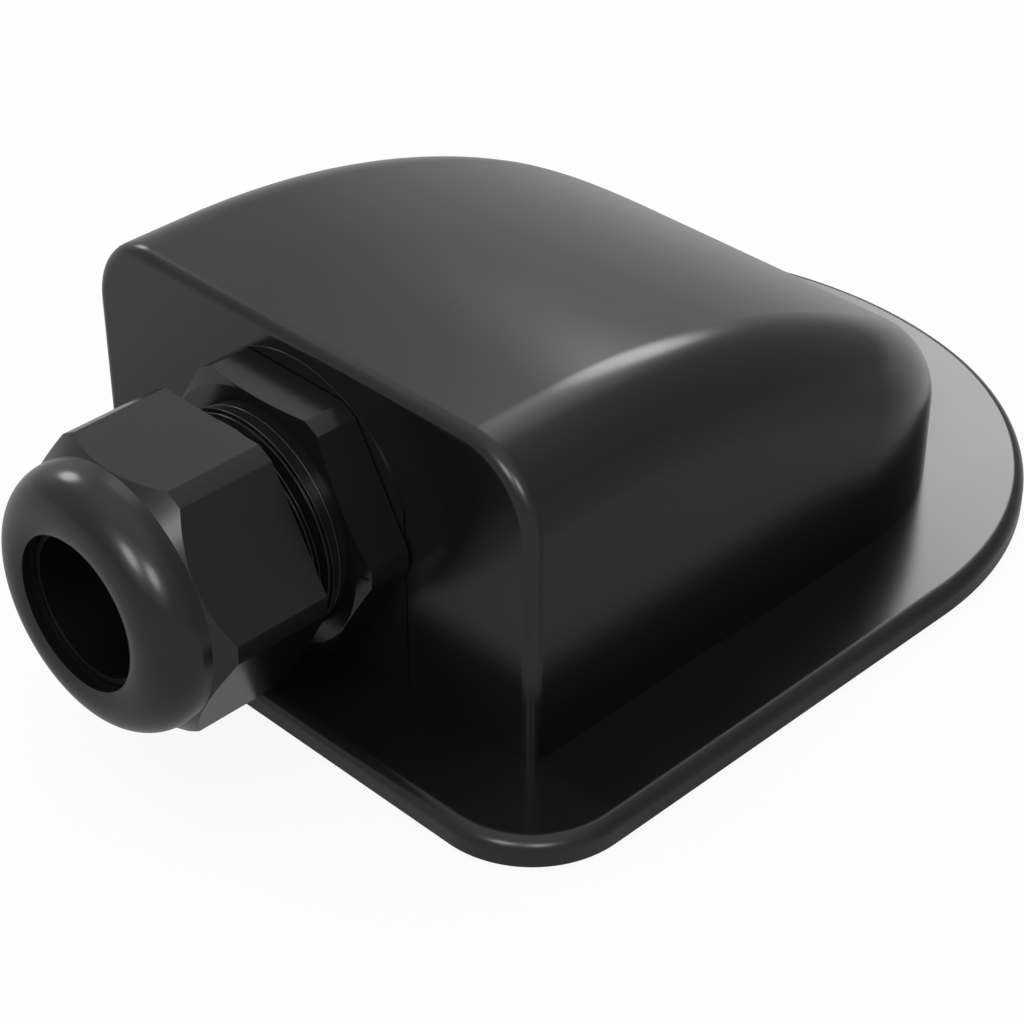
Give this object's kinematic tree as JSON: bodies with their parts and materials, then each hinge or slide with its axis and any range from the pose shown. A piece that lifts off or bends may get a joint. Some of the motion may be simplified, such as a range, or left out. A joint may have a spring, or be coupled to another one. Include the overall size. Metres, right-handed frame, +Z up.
{
  "type": "solar roof cable entry box",
  "caption": "Low moulded box with a bonding flange and a roof that sweeps down to a round end; a screw-tightened gland in its flat front wall leads a cable through a roof.",
  "frame": {"origin": "on the mounting plane under the flange, below the middle of the whole part's box, gland included", "axes": "+Z up, away from the roof; -Y out of the gland, along its axis; +X to the right when facing the gland"},
  "size_m": [0.083, 0.116, 0.036],
  "materials": {
    "shell": "satin moulded ABS",
    "gland": "satin moulded nylon",
    "rubber": "matt rubber"
  },
  "bodies": {
    "box": {"housing": "shell", "gland_body": "gland", "gland_gasket": "rubber", "gland_locknut": "gland"},
    "seal": {"sealing_insert": "rubber"},
    "nut": {"dome_nut": "gland"}
  },
  "joints": [
    {"name": "nut_travel", "type": "slide", "parent": "box", "child": "seal", "axis": [0, -1, 0], "range_m": [-0.00321, 0.00481]},
    {"name": "nut_turn", "type": "hinge", "parent": "seal", "child": "nut", "pos_m": [0, -0.04081, 0.0186], "axis": [0, -1, 0], "range_deg": [-720, 1080]}
  ],
  "couplings": [
    {"joint": "nut_travel", "follows": "nut_turn", "m_per_rad": 0.00025465}
  ]
}
